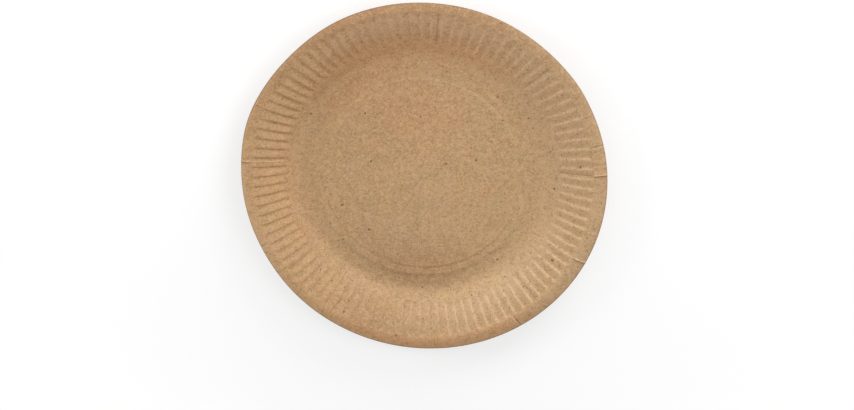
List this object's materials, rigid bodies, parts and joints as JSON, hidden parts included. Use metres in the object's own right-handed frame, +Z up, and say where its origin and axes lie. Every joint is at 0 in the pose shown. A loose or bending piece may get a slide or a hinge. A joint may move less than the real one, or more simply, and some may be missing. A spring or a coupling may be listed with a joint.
{
  "type": "paper plate",
  "caption": "Round brown kraft paper plate with a raised centre panel, a sloping wall and a fluted rim with a plain turned-down border.",
  "frame": {"origin": "centre of the cut edge, on the plane that the foot ring stands on", "axes": "+Z up out of the plate, square to its foot ring; +X and +Y across the plate, with +Y towards the edge that is uppermost in the picture"},
  "size_m": [0.23, 0.23, 0.0149],
  "materials": {
    "board": "uncoated kraft board, matt with a faint calendered sheen"
  },
  "bodies": {
    "root": {"plate": "board"}
  },
  "joints": []
}
